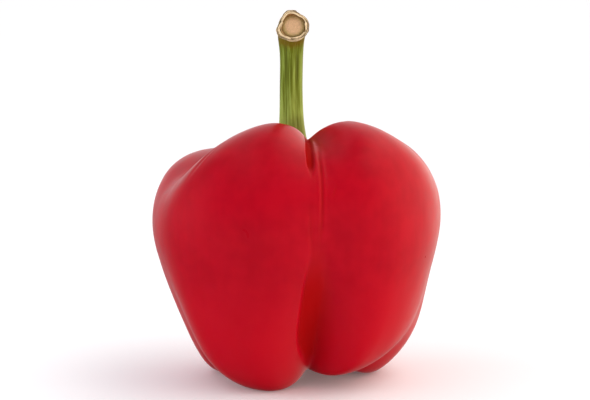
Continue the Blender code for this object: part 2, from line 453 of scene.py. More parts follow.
@dataclass(frozen=True)
class CutFibre(Finish):
    """The dried cut across a stalk: pale pith that has dried and drawn down from its bark.

    The eye sees a matt tan face with fine pores, pinkish in the middle, and brown where
    it meets the bark and where the bark has split. It is darker brown towards its top,
    which is painted shade under the top of the rim, and painted shade darkens its grooves.
    """

    name: str = "dried_stalk_pith"
    roughness: float = 0.75
    ior: float = 1.50
    specular: float = 0.25
    middle: str = "CDA884"
    edge: str = "BBA46C"
    # dark brown rings in the grooves of the cut: partly the dried edge's own brown, partly painted shade in
    # those grooves
    groove_brown_and_shade: str = "6A4A24"
    ring: str = "A88C60"
    bark: str = "66602E"
    # painted shade towards the top of the cut, under the top of the rim
    browned: str = "8A6438"
    split: str = "54401E"
    pore_size: float = 0.35 * MM
    relief: float = 0.12 * MM
    bump: float = 0.8

    def paint(self, tree: bpy.types.NodeTree, shader: bpy.types.Node) -> Paint:
        """Adds the rings of colour from the middle of the cut to its rim, painted shade towards its top, and
        the splits.

        Args:
            tree: The material's nodes.
            shader: Its Principled BSDF, not used here.

        Returns:
            The colour, and the height of the bumps.
        """
        place = add_node(tree, "ShaderNodeTexCoord").outputs["Object"]
        out = add_node(tree, "ShaderNodeAttribute", {"attribute_name": "out"})
        # the two dark brown stops lie in the cut's grooves, where they are partly painted shade
        rings = add_node(
            tree, "ShaderNodeValToRGB", None, {"Fac": out.outputs["Fac"]},
            [
                (0.0, linear(self.middle)), (1.0, linear(self.bark)), (0.40, linear(self.middle)),
                (0.62, linear(self.edge)), (0.69, linear(self.groove_brown_and_shade)), (0.77, linear(self.ring)),
                (0.85, linear(self.ring)), (0.90, linear(self.groove_brown_and_shade)), (0.95, linear(self.ring)),
            ],
        )
        # darker brown towards the top of the cut: painted shade under the top of the rim
        upper = add_node(tree, "ShaderNodeAttribute", {"attribute_name": "upper"})
        browning = add_node(
            tree, "ShaderNodeMapRange", {"From Min": 0.25, "From Max": 0.75, "To Max": 0.8},
            {"Value": upper.outputs["Fac"]},
        )
        browned = add_node(
            tree, "ShaderNodeMix", {"data_type": "RGBA", 7: linear(self.browned)},
            {0: browning.outputs[0], 6: rings.outputs[0]},
        )
        around = add_node(tree, "ShaderNodeAttribute", {"attribute_name": "around"})
        strand = add_node(
            tree, "ShaderNodeTexNoise", {"Scale": 1.0, "Detail": 3.0}, {"Vector": around.outputs["Vector"]},
        )
        on_ring = add_node(
            tree, "ShaderNodeMapRange", {"From Min": 0.66, "From Max": 0.76}, {"Value": out.outputs["Fac"]},
        )
        between_strands = add_node(
            tree, "ShaderNodeMapRange", {"From Min": 0.40, "From Max": 0.52, "To Min": 0.85, "To Max": 0.0},
            {"Value": strand.outputs[0]},
        )
        splitting = add_node(
            tree, "ShaderNodeMath", {"operation": "MULTIPLY"},
            {0: on_ring.outputs[0], 1: between_strands.outputs[0]},
        )
        split = add_node(
            tree, "ShaderNodeMix", {"data_type": "RGBA", 7: linear(self.split)},
            {0: splitting.outputs[0], 6: browned.outputs[2]},
        )
        pore = add_node(
            tree, "ShaderNodeTexNoise", {"Scale": 1 / self.pore_size, "Detail": 4.0, "Roughness": 0.65},
            {"Vector": place},
        )
        spread = add_node(
            tree, "ShaderNodeMapRange", {"From Min": 0.30, "From Max": 0.70, "To Min": 0.78, "To Max": 1.18},
            {"Value": pore.outputs[0]},
        )
        coloured = add_node(
            tree, "ShaderNodeVectorMath", {"operation": "SCALE"},
            {0: split.outputs[2], "Scale": spread.outputs[0]},
        )
        return coloured.outputs[0], pore.outputs[0]


@dataclass(frozen=True)
class TornFibre(Finish):
    """Dry fibre torn from a stalk as it was cut, thin and stiff like old straw.

    The eye sees cream and tan strips with a dull sheen, brown where they are thin.
    """

    name: str = "torn_stalk_fibre"
    roughness: float = 0.65
    ior: float = 1.50
    specular: float = 0.35
    brown: str = "5C4524"
    cream: str = "EED8B2"
    streak_size: float = 0.30 * MM
    relief: float = 0.06 * MM
    bump: float = 0.6
    streak_share: float = 0.7       # how much the streaks count beside a strip's own tone

    def paint(self, tree: bpy.types.NodeTree, shader: bpy.types.Node) -> Paint:
        """Adds each strip's own tone and its fine streaks.

        Args:
            tree: The material's nodes.
            shader: Its Principled BSDF, not used here.

        Returns:
            The colour, and the height of the bumps.
        """
        place = add_node(tree, "ShaderNodeTexCoord").outputs["Object"]
        streak = add_node(
            tree, "ShaderNodeTexNoise", {"Scale": 1 / self.streak_size, "Detail": 3.0}, {"Vector": place},
        )
        tone = add_node(tree, "ShaderNodeAttribute", {"attribute_name": "tone"})
        mixed = add_node(
            tree, "ShaderNodeMath", {"operation": "MULTIPLY_ADD", 1: self.streak_share},
            {0: streak.outputs[0], 2: tone.outputs["Fac"]},
        )
        shade = add_node(
            tree, "ShaderNodeMapRange", {"From Min": 0.30, "From Max": 1.35}, {"Value": mixed.outputs[0]},
        )
        straw = add_node(
            tree, "ShaderNodeMix", {"data_type": "RGBA", 6: linear(self.brown), 7: linear(self.cream)},
            {0: shade.outputs[0]},
        )
        return straw.outputs[2], streak.outputs[0]


@dataclass(frozen=True)
class CalyxLeaf(Finish):
    """Calyx: the thick green leaf tissue that holds a pepper to its stalk.

    The eye sees dull mid green with paler veins that run out from the stalk, and
    browner tips.
    """

    name: str = "green_calyx_leaf"
    roughness: float = 0.52
    ior: float = 1.42
    specular: float = 0.35
    dark: str = "3F5A14"
    pale: str = "7C8C34"
    tip: str = "8A7A3A"
    mottle_size: float = 2.5 * MM
    relief: float = 0.15 * MM
    bump: float = 0.6
    mottle_share: float = 0.6       # how much the mottling counts beside the veins

    def paint(self, tree: bpy.types.NodeTree, shader: bpy.types.Node) -> Paint:
        """Adds veins, mottling and browner tips.

        Args:
            tree: The material's nodes.
            shader: Its Principled BSDF, not used here.

        Returns:
            The colour, and the height of the bumps.
        """
        place = add_node(tree, "ShaderNodeTexCoord").outputs["Object"]
        vein = add_node(tree, "ShaderNodeAttribute", {"attribute_name": "vein"})
        mottle = add_node(
            tree, "ShaderNodeTexNoise", {"Scale": 1 / self.mottle_size, "Detail": 4.0}, {"Vector": place},
        )
        mixed = add_node(
            tree, "ShaderNodeMath", {"operation": "MULTIPLY_ADD", 1: self.mottle_share},
            {0: mottle.outputs[0], 2: vein.outputs["Fac"]},
        )
        shade = add_node(
            tree, "ShaderNodeMapRange", {"From Min": 0.15, "From Max": 1.15}, {"Value": mixed.outputs[0]},
        )
        green = add_node(
            tree, "ShaderNodeMix", {"data_type": "RGBA", 6: linear(self.dark), 7: linear(self.pale)},
            {0: shade.outputs[0]},
        )
        tip = add_node(tree, "ShaderNodeAttribute", {"attribute_name": "tip"})
        coloured = add_node(
            tree, "ShaderNodeMix", {"data_type": "RGBA", 7: linear(self.tip)},
            {0: tip.outputs["Fac"], 6: green.outputs[2]},
        )
        return coloured.outputs[2], mottle.outputs[0]


@dataclass(frozen=True)
class StudioSurface(Finish):
    """A plain white studio table, matt, so that it takes only a soft shadow.

    It gives the pepper less light back than it shows, as a table lit only round the
    object does, so that the front of the skin keeps its deep red.
    """

    name: str = "white_studio_table"
    roughness: float = 0.9
    ior: float = 1.45
    specular: float = 0.0
    relief: float = 0.0
    bump: float = 0.0
    white: str = "F4F8FF"
    returned: str = "E0E0E0"
    backlight: float = 0.065        # light from under the table, which hides where the cards' light ends

    def paint(self, tree: bpy.types.NodeTree, shader: bpy.types.Node) -> Paint:
        """Sets the white that is seen and the grey that lights the pepper from below.

        Args:
            tree: The material's nodes.
            shader: Its Principled BSDF.

        Returns:
            The colour, and no bumps.
        """
        seen = add_node(tree, "ShaderNodeLightPath")
        white = add_node(
            tree, "ShaderNodeMix",
            {"data_type": "RGBA", 6: linear(self.returned), 7: linear(self.white)},
            {0: seen.outputs["Is Camera Ray"]},
        )
        shader.inputs["Emission Color"].default_value = linear("FFFFFF")
        shader.inputs["Emission Strength"].default_value = self.backlight
        return white.outputs[2], None


def deselect_all() -> None:
    """Leaves nothing selected, so that the next operator works on its own piece."""
    for item in bpy.context.selected_objects:
        item.select_set(False)
    bpy.context.view_layer.objects.active = None


def points_of(piece: bpy.types.Object) -> np.ndarray:
    """Reads the places of a mesh's vertices.

    Args:
        piece: The mesh object.

    Returns:
        One row for each vertex.
    """
    places = np.empty(len(piece.data.vertices) * 3)
    piece.data.vertices.foreach_get("co", places)
    return places.reshape(-1, 3)


def place_points(piece: bpy.types.Object, places: np.ndarray) -> None:
    """Moves the mesh's vertices.

    Args:
        piece: The mesh object.
        places: New places, one a row.
    """
    piece.data.vertices.foreach_set("co", places.astype(np.float32).ravel())
    piece.data.update()


def outward_of(piece: bpy.types.Object) -> np.ndarray:
    """Reads the way that each vertex of a mesh faces.

    Args:
        piece: The mesh object.

    Returns:
        One row for each vertex.
    """
    facing = np.empty(len(piece.data.vertices) * 3, np.float32)
    piece.data.vertex_normals.foreach_get("vector", facing)
    return facing.reshape(-1, 3).astype(float)


def keep_values(piece: bpy.types.Object, name: str, values: np.ndarray) -> None:
    """Stores a number or a vector for each vertex, for a material to read.

    Args:
        piece: The mesh object.
        name: The attribute's name.
        values: One number or one row of three for each vertex.
    """
    kind, field = ("FLOAT", "value") if values.ndim == 1 else ("FLOAT_VECTOR", "vector")
    attribute = piece.data.attributes.new(name, kind, "POINT")
    attribute.data.foreach_set(field, values.astype(np.float32).ravel())


def fine_sphere(name: str, segments: int, rings: int, halvings: int) -> bpy.types.Object:
    """Adds a unit sphere and divides its faces, ready to be shaped point by point.

    Args:
        name: The piece's name.
        segments: Faces round the sphere before they are divided.
        rings: Faces from pole to pole before they are divided.
        halvings: How many times each face is divided in four.

    Returns:
        The sphere.
    """
    deselect_all()
    bpy.ops.mesh.primitive_uv_sphere_add(segments=segments, ring_count=rings, radius=1.0)
    piece = bpy.context.object
    piece.name = name
    finer = piece.modifiers.new("finer", "SUBSURF")
    finer.subdivision_type = "SIMPLE"
    finer.levels = halvings
    finer.render_levels = halvings
    bpy.ops.object.modifier_apply(modifier=finer.name)
    places = points_of(piece)
    place_points(piece, places / np.linalg.norm(places, axis=1)[:, None])
    return piece


def face_outwards(merging: float | None = None) -> None:
    """Turns the faces of the active mesh outwards, and smooths them.

    Args:
        merging: Distance under which its vertices are merged first, if they are.
    """
    bpy.ops.object.mode_set(mode="EDIT")
    bpy.ops.mesh.select_all(action="SELECT")
    if merging is not None:
        bpy.ops.mesh.remove_doubles(threshold=merging)
    bpy.ops.mesh.normals_make_consistent(inside=False)
    bpy.ops.object.mode_set(mode="OBJECT")
    bpy.ops.object.shade_smooth()


def settle(piece: bpy.types.Object, node: str) -> None:
    """Puts a finished piece on the body, in place of its solid.

    Args:
        piece: The finished mesh object.
        node: The solid that it stands for.
    """
    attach(piece, BODY)
    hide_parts(node)
    log.info("%s: %d faces", piece.name, len(piece.data.polygons))


@dataclass(frozen=True)
class Rib:
    """One meridian of the fruit: the middle of a lobe, or the bottom of a furrow."""

    azimuths: tuple     # from the front towards +X, at the shoulder, the waist and the foot
    crest: tuple        # radius and height of the top of the shoulder
    fullness: float     # 2 makes a round shoulder, and more makes a squarer one
    girth: tuple        # radius and height of the widest place
    low_radius: float   # radius where the side starts to turn under
    toe: float          # how far out the toe stands, as a share of the way from foot to side
    foot: tuple         # radius and height of the lowest place
    narrow: tuple = (0.10, 0.10)        # how soft a furrow's bottom is at its shoulder, and at its foot
    broad: float = 0.48                 # and at its waist
    hold_before: tuple = (1.5, 2.4)     # how long the lobe before a furrow keeps its height,
    hold_after: tuple = (1.5, 2.4)      # and the lobe after it: at the shoulder, down the side

    def azimuth_at(self, depth: np.ndarray) -> np.ndarray:
        """Azimuth at depths that run from 0 at the shoulder to 1 at the foot.

        Args:
            depth: The depths.

        Returns:
            One azimuth for each depth.
        """
        top, middle, bottom = self.azimuths
        return (
            top * (1 - depth) * (1 - 2 * depth)
            + middle * 4 * depth * (1 - depth)
            + bottom * depth * (2 * depth - 1)
        )


@dataclass(frozen=True)
class Crease:
    """A fine line where the skin folds in, with a raised lip on each side."""

    path: tuple         # (station, azimuth) from the top down
    width: float
    depth: float
    lip: float = 0.0
    shade: float = 0.5  # how much painted shade darkens its bottom
    fade: float = 0.25  # stations over which each end fades

    def relief(self, azimuth: np.ndarray, station: np.ndarray, radius: np.ndarray) -> tuple:
        """How far the skin moves out and how much painted shade it takes, at each point.

        Args:
            azimuth: Each point's azimuth.
            station: Each point's station.
            radius: Each point's distance from the axis.

        Returns:
            Heights, negative where the skin goes in, and painted shade from 0 to 1.
        """
        across = radius * np.radians(past_path(self.path, azimuth, station)) / self.width
        ends = band(station, self.path[0][0], self.fade, self.path[-1][0], self.fade)
        groove = np.exp(-across ** 2)
        lips = np.exp(-(np.abs(across) - 2) ** 2)
        return ends * (self.lip * lips - self.depth * groove), ends * self.shade * groove


@dataclass(frozen=True)
class Pocket:
    """A hollow in the skin between two paths, with an edge of its own on each side."""

    left: tuple         # (station, azimuth) from the top down
    right: tuple
    depth: float
    left_edge: float    # how far the skin takes to turn in
    right_edge: float
    fade: tuple         # stations over which its top and bottom fade
    # how much painted shade darkens its floor
    shade: float = 0.3

    def relief(self, azimuth: np.ndarray, station: np.ndarray, radius: np.ndarray) -> tuple:
        """How far the skin moves out and how much painted shade it takes, at each point.

        Args:
            azimuth: Each point's azimuth.
            station: Each point's station.
            radius: Each point's distance from the axis.

        Returns:
            Heights, negative where the skin goes in, and painted shade from 0 to 1.
        """
        inside = np.ones(len(azimuth))
        for path, edge, side in ((self.left, self.left_edge, 1), (self.right, self.right_edge, -1)):
            inward = side * radius * np.radians(past_path(path, azimuth, station))
            inside = inside * ease(inward, length=edge)
        ends = band(station, self.left[0][0], self.fade[0], self.left[-1][0], self.fade[1])
        return -ends * self.depth * inside, ends * self.shade * inside


@dataclass
class Fruit:
    """The fruit: four lobes with furrows between them, standing on three of the lobes."""

    hollow_floor: float = 0.0640
    hollow_mouth: float = 0.0115
    hollow_rises: tuple = (0.02, 0.22, 0.78)    # shares of its height: its floor, wall and rim
    floor_share: float = 0.52       # how far out in the mouth the floor goes
    rim_share: float = 0.55         # how far out from the mouth to the crest the rim is
    side_heights: tuple = (0.64, 0.32, 0.09)    # shares of the girth's height: flank, low side and toe
    flank_share: float = 0.62       # how far out from the low side to the girth the flank is
    arch: tuple = (0.50, 0.55)      # how far out and how high the arch between the feet is
    underside: float = 0.0090
    shoulder_station: float = 3
    foot_station: float = 10
    last_station: float = 12
    waist_depth: float = 0.37       # where the waist is, from 0 at the shoulder to 1 at the foot
    waist_spread: float = 0.16
    side_depth: float = 0.45        # where a lobe starts to hold its height as it does down the side
    segments: int = 88
    rings: int = 60
    halvings: int = 2
    front_furrow: float = 12.0      # azimuth round which the mesh is finest
    gathering: float = 0.62         # how much finer it is there
    dent_size: float = 21 * MM
    dent_height: float = 0.30 * MM
    ripple_size: float = 7 * MM
    ripple_height: float = 0.06 * MM
    dented: tuple = (3.0, 1.5, 9.8, 1.0)        # stations where the sides are dented, as band takes them
    wrinkle_height: float = 0.45 * MM
    wrinkle_spread: tuple = (5.0, 5.0, 0.9)     # how many wrinkles run round the axis, and along
    wrinkled: tuple = (2.1, 0.5, 4.1, 1.3)      # stations where the hollow is wrinkled
    wrinkled_below: tuple = (10.4, 0.7)         # station, and how far on, where the underside is wrinkled
    below_share: float = 1.2        # how high those wrinkles are beside the hollow's
    crease_stations: tuple = (2.6, 3.2, 3.8, 4.4, 5.0)
    scar_radius: float = 2.6 * MM
    scar_edge: float = 1.3          # share of that radius at which the scar ends
    lobes: tuple = (
        Rib((43, 47, 34), (0.0240, 0.0840), 2.30, (0.0465, 0.0540), 0.0395, 0.60, (0.0195, 0.0040)),
        Rib((128, 126, 116), (0.0270, 0.0770), 2.50, (0.0460, 0.0520), 0.0399, 0.57, (0.0230, -0.0003)),
        Rib((240, 240, 238), (0.0285, 0.0714), 2.60, (0.0460, 0.0510), 0.0355, 0.55, (0.0240, -0.0003)),
        Rib((354, 328, 338), (0.0225, 0.0838), 2.15, (0.0460, 0.0520), 0.0375, 0.57, (0.0200, -0.0003)),
    )
    furrows: tuple = (
        Rib((84, 86, 58), (0.0290, 0.0730), 2.20, (0.0459, 0.0520), 0.0386, 0.62, (0.0175, 0.0058)),
        Rib((188, 186, 184), (0.0200, 0.0680), 2.10, (0.0400, 0.0500), 0.0310, 0.58, (0.0110, 0.0060)),
        Rib((268, 284, 286), (0.0220, 0.0695), 2.02, (0.0446, 0.0490), 0.0345, 0.60, (0.0180, 0.0036)),
        Rib(
            (377, 373.5, 379), (0.0170, 0.0783), 3.00, (0.0412, 0.0550), 0.0258, 0.52, (0.0118, 0.0048),
            narrow=(0.05, 0.22), broad=0.30, hold_before=(1.9, 2.1), hold_after=(3.0, 2.4),
        ),
    )
    # the folds' shade values are painted shade along their bottoms
    front_folds: tuple = (
        # the fine line down the front, from the shoulder to the waist
        Crease(
            (
                (4.0, 18.5), (4.44, 16.0), (4.68, 13.9), (4.9, 12.2),
                (5.1, 11.8), (5.4, 11.5), (6.05, 10.9), (6.6, 10.7),
            ),
            0.45 * MM, 0.24 * MM, 0.06 * MM, 0.55, 1.1,
        ),
        # a fainter one to its left, above the deep part of the furrow
        Crease(((5.5, 6.2), (6.0, 6.3), (6.2, 6.7), (6.7, 8.0)), 0.60 * MM, 0.12 * MM, 0.03 * MM, 0.25, 0.5),
        # a short healed scratch on the right lobe
        Crease(
            ((5.36, 18.3), (5.42, 17.6), (5.52, 16.2), (5.58, 15.6)),
            0.35 * MM, 0.08 * MM, 0.0, 0.40, 0.06,
        ),
        # the pucker at the top of the fine line
        Crease(((4.34, 8.5), (4.42, 12.5), (4.49, 18.5)), 0.50 * MM, 0.28 * MM, 0.10 * MM, 0.80, 0.10),
        # the fold where the back left lobe meets the front left one
        Crease(
            ((4.3, -44.5), (4.84, -47.5), (5.0, -48.8), (5.3, -53.0)),
            0.80 * MM, 0.30 * MM, 0.14 * MM, 0.25, 0.5,
        ),
    )
    # each pocket's last value is painted shade on its floor
    pockets: tuple = (
        # where the left lobe overlaps the furrow at the shoulder
        Pocket(
            ((3.7, 9.0), (4.36, 7.2), (4.72, 5.7), (4.92, 5.3), (5.05, 5.5), (5.16, 6.1), (5.26, 7.0)),
            ((3.7, 19.0), (4.22, 15.2), (4.68, 11.2), (4.9, 10.2), (5.05, 9.4), (5.16, 8.6), (5.26, 7.8)),
            1.1 * MM, 0.5 * MM, 0.7 * MM, (0.4, 0.30), 1.0,
        ),
        # the deep part of the furrow, low on the front, whose left side is the steeper one
        Pocket(
            (
                (6.3, 5.5), (6.62, 4.6), (6.96, 3.5), (7.26, 2.7),
                (7.62, 1.5), (7.98, 0.8), (8.26, 1.5), (8.7, 4.0),
            ),
            ((6.3, 13.0), (6.96, 14.0), (7.60, 15.0), (7.98, 16.0), (8.28, 17.0), (8.7, 18.0)),
            0.9 * MM, 1.2 * MM, 7.0 * MM, (0.9, 0.5), 0.0,
        ),
    )
    shades: tuple = (
        # painted shade all over the deep part of the furrow, which does not move the skin
        Pocket(
            (
                (6.0, 6.5), (6.62, 4.8), (6.96, 3.7), (7.26, 2.9),
                (7.62, 1.7), (7.98, 1.0), (8.26, 1.7), (9.2, 9.0),
            ),
            ((6.0, 14.0), (6.96, 19.5), (7.60, 23.0), (7.98, 24.5), (8.28, 25.0), (9.2, 27.0)),
            0.0, 1.6 * MM, 5.5 * MM, (1.3, 0.5), 0.9,
        ),
    )

    def stations_of(self, rib: Rib) -> np.ndarray:
        """Radius and height of a rib at each station, from the hollow to the underside.

        Args:
            rib: The meridian.

        Returns:
            One row for each station.
        """
        crest_r, crest_z = rib.crest
        girth_r, girth_z = rib.girth
        foot_r, foot_z = rib.foot
        low_r = rib.low_radius
        shoulder = 2 ** (-1 / rib.fullness)
        floor_z, wall_z, rim_z = [between(self.hollow_floor, crest_z, rise) for rise in self.hollow_rises]
        flank_z, low_z, toe_z = [between(foot_z, girth_z, share) for share in self.side_heights]
        arch_out, arch_up = self.arch
        return np.array([
            (0.0, self.hollow_floor),
            (self.hollow_mouth * self.floor_share, floor_z),
            (self.hollow_mouth, wall_z),
            (between(self.hollow_mouth, crest_r, self.rim_share), rim_z),
            (crest_r, crest_z),
            (between(crest_r, girth_r, shoulder), between(girth_z, crest_z, shoulder)),
            (girth_r, girth_z),
            (between(low_r, girth_r, self.flank_share), flank_z),
            (low_r, low_z),
            (between(foot_r, low_r, rib.toe), toe_z),
            (foot_r, foot_z),
            (foot_r * arch_out, between(foot_z, self.underside, arch_up)),
            (0.0, self.underside),
        ])

    def points(self, azimuth: np.ndarray, station: np.ndarray) -> np.ndarray:
        """Points on the smooth skin, about the fruit's own axis.

        Args:
            azimuth: Each point's azimuth, from the front towards +X.
            station: Each point's station, from 0 in the hollow to 12 underneath.

        Returns:
            One row for each point.
        """
        span = self.foot_station - self.shoulder_station
        depth = np.clip((station - self.shoulder_station) / span, 0, 1)
        waist = np.exp(-((depth - self.waist_depth) / self.waist_spread) ** 2)
        profile = np.zeros((len(azimuth), 2))
        for i, lobe in enumerate(self.lobes):
            lobe_azimuth = lobe.azimuth_at(depth)
            lobe_profile = smooth_through(self.stations_of(lobe), station)
            next_furrow = (self.furrows[i], 1, self.furrows[i].hold_before)
            last_furrow = (self.furrows[i - 1], -1, self.furrows[i - 1].hold_after)
            for furrow, side, (shoulder_hold, side_hold) in (next_furrow, last_furrow):
                reach = side * (furrow.azimuth_at(depth) - lobe_azimuth) % 360
                offset = side * (azimuth - lobe_azimuth) % 360
                here = offset <= reach
                inward = np.clip(1 - offset / reach, 0, 1)
                soft = between(between(*furrow.narrow, depth), furrow.broad, waist)
                rounded = (np.hypot(inward, soft) - soft) / (np.hypot(1, soft) - soft)
                hold = between(shoulder_hold, side_hold, np.clip(depth / self.side_depth, 0, 1))
                share = ((1 - rounded) ** hold)[:, None]
                furrow_profile = smooth_through(self.stations_of(furrow), station)
                profile[here] = between(lobe_profile, furrow_profile, share)[here]
        angle = np.radians(azimuth)
        radius, height = profile[:, 0], profile[:, 1]
        return np.stack([radius * np.sin(angle), -radius * np.cos(angle), height], axis=1)

    def furrow_creases(self) -> list[Crease]:
        """Lays a fine crease along the bottom of each furrow but the front one, at its shoulder.

        Returns:
            The creases.
        """
        creases = []
        for furrow in self.furrows[:-1]:
            path = []
            for station in self.crease_stations:
                depth = (station - self.shoulder_station) / (self.foot_station - self.shoulder_station)
                path.append((station, float(furrow.azimuth_at(np.array(max(depth, 0.0))))))
            # each crease has painted shade along its bottom
            creases.append(
                Crease(tuple(path), width=0.8 * MM, depth=0.5 * MM, lip=0.12 * MM, shade=0.35, fade=0.9)
            )
        return creases

    def fine_relief(self, azimuth: np.ndarray, station: np.ndarray, places: np.ndarray) -> np.ndarray:
        """How far dents, ripples and wrinkles move each point of the skin.

        Args:
            azimuth: Each point's azimuth.
            station: Each point's station.
            places: Each point's place.

        Returns:
            One height for each point.
        """
        round_axis = wrapped(np.radians(azimuth), station, self.wrinkle_spread)
        # the finer folds are half as large and half as high
        folds = noise_at(round_axis, 1.0) + 0.5 * noise_at(round_axis, 0.5)
        hollow = band(station, *self.wrinkled)
        underneath = ease(station, *self.wrinkled_below)
        sides = band(station, *self.dented)
        return (
            sides * self.dent_height * noise_at(places, self.dent_size)
            + sides * self.ripple_height * noise_at(places, self.ripple_size)
            + (hollow + self.below_share * underneath) * self.wrinkle_height * folds
        )

    def build(self) -> bpy.types.Object:
        """Models the fruit from a fine sphere and dresses it.

        Returns:
            The finished piece.
        """
        piece = fine_sphere("fruit_skin", self.segments, self.rings, self.halvings)
        unit = points_of(piece)
        turn = np.degrees(np.arctan2(unit[:, 0], -unit[:, 1]))
        gathered = np.degrees(self.gathering) * np.sin(np.radians(turn - self.front_furrow))
        azimuth = (turn - gathered) % 360
        station = self.last_station * np.arccos(np.clip(unit[:, 2], -1, 1)) / math.pi
        places = self.points(azimuth, station)
        place_points(piece, places)
        outward = outward_of(piece)

        radius = np.hypot(places[:, 0], places[:, 1])
        height = self.fine_relief(azimuth, station, places)
        shade = np.zeros(len(places))
        for fold in (*self.front_folds, *self.furrow_creases(), *self.pockets, *self.shades):
            rise, dark = fold.relief(azimuth, station, radius)
            height += rise
            shade = np.maximum(shade, dark)
        places = places + outward * height[:, None] + FRUIT_AXIS
        places[:, 2] = np.maximum(places[:, 2], 0.0)
        place_points(piece, places)
        # the painted shade of all the folds, which the skin mixes in as a darker red
        keep_values(piece, "fold", np.clip(shade, 0, 1))
        scar = ease(self.scar_edge - radius / self.scar_radius) * (station > self.foot_station)
        keep_values(piece, "scar", scar)
        bpy.ops.object.shade_smooth()
        PepperSkin().dress(piece)
        settle(piece, "fruit")
        return piece


@dataclass
class Calyx:
    """The calyx: a green cap on the floor of the hollow, with a collar for the stem."""

    fruit: Fruit
    lift: float = 0.6 * MM
    thickness: float = 1.4 * MM
    reach: float = 2.00             # station of its edge, midway from a notch to a tooth
    teeth: int = 6
    tooth_reach: float = 0.14
    edge_squareness: float = 0.35   # 1 makes a round edge, and less makes a squarer one
    collar_radius: float = 8.2 * MM
    collar_skirt: float = 3.0 * MM
    collar_height: float = 69.2 * MM
    vein_height: float = 0.22 * MM
    vein_narrowness: int = 6        # one vein runs out to each tooth,
    side_veins: int = 3             # and this many fainter ones for each tooth run beside it
    side_narrowness: int = 3
    side_share: float = 0.6         # how high those are
    vein_start: float = 0.6         # share of the collar's radius where the veins rise
    vein_end: float = 8.0           # how sharply they end at the rim
    browned: tuple = (1.85, 0.35)   # station, and how far on, where the tips turn brown
    browning: float = 0.8
    segments: int = 54
    rings: int = 24
    halvings: int = 2

    def build(self) -> bpy.types.Object:
        """Models the calyx from a sphere whose underside follows the hollow.

        Returns:
            The finished piece.
        """
        piece = fine_sphere("calyx_leaf", self.segments, self.rings, self.halvings)
        unit = points_of(piece)
        azimuth = np.degrees(np.arctan2(unit[:, 0], -unit[:, 1])) % 360
        up = np.clip(unit[:, 2], -1, 1)
        out = np.sqrt(1 - up ** 2)
        tooth = np.cos(np.radians(self.teeth * azimuth))
        station = (self.reach + self.tooth_reach * tooth) * out
        places = self.fruit.points(azimuth, station)
        side = np.sign(up) * np.abs(up) ** self.edge_squareness
        places[:, 2] += self.lift + self.thickness * (1 + side) / 2
        radius = np.hypot(places[:, 0], places[:, 1])
        fall = ease(radius, self.collar_radius, self.collar_skirt)
        raised = np.where(up > 0, 1 - fall, 0)
        places[:, 2] = between(places[:, 2], self.collar_height, raised)

        beside = np.cos(np.radians(self.side_veins * self.teeth * azimuth))
        vein = (0.5 + 0.5 * tooth) ** self.vein_narrowness
        vein += self.side_share * (0.5 + 0.5 * beside) ** self.side_narrowness
        risen = ease(radius / self.collar_radius - self.vein_start)
        on_top = np.where(up > 0, risen, 0) * ease((1 - out) * self.vein_end)
        places[:, 2] += self.vein_height * vein * on_top
        place_points(piece, places + FRUIT_AXIS)
        keep_values(piece, "vein", np.clip(vein, 0, 1) * on_top)
        keep_values(piece, "tip", ease(station, *self.browned) * self.browning)
        bpy.ops.object.shade_smooth()
        CalyxLeaf().dress(piece)
        settle(piece, "calyx")
        return piece


@dataclass(frozen=True)
class Strip:
    """One strip of torn fibre that lies along the edge of the cut."""

    start: float        # angle from +X where it starts, seen face on
    sweep: float        # how far round it goes
    shares: tuple       # how far out it starts and ends
    half_width: float
    lift: float         # height above the cut
    tone: float         # 0 for brown and 1 for cream


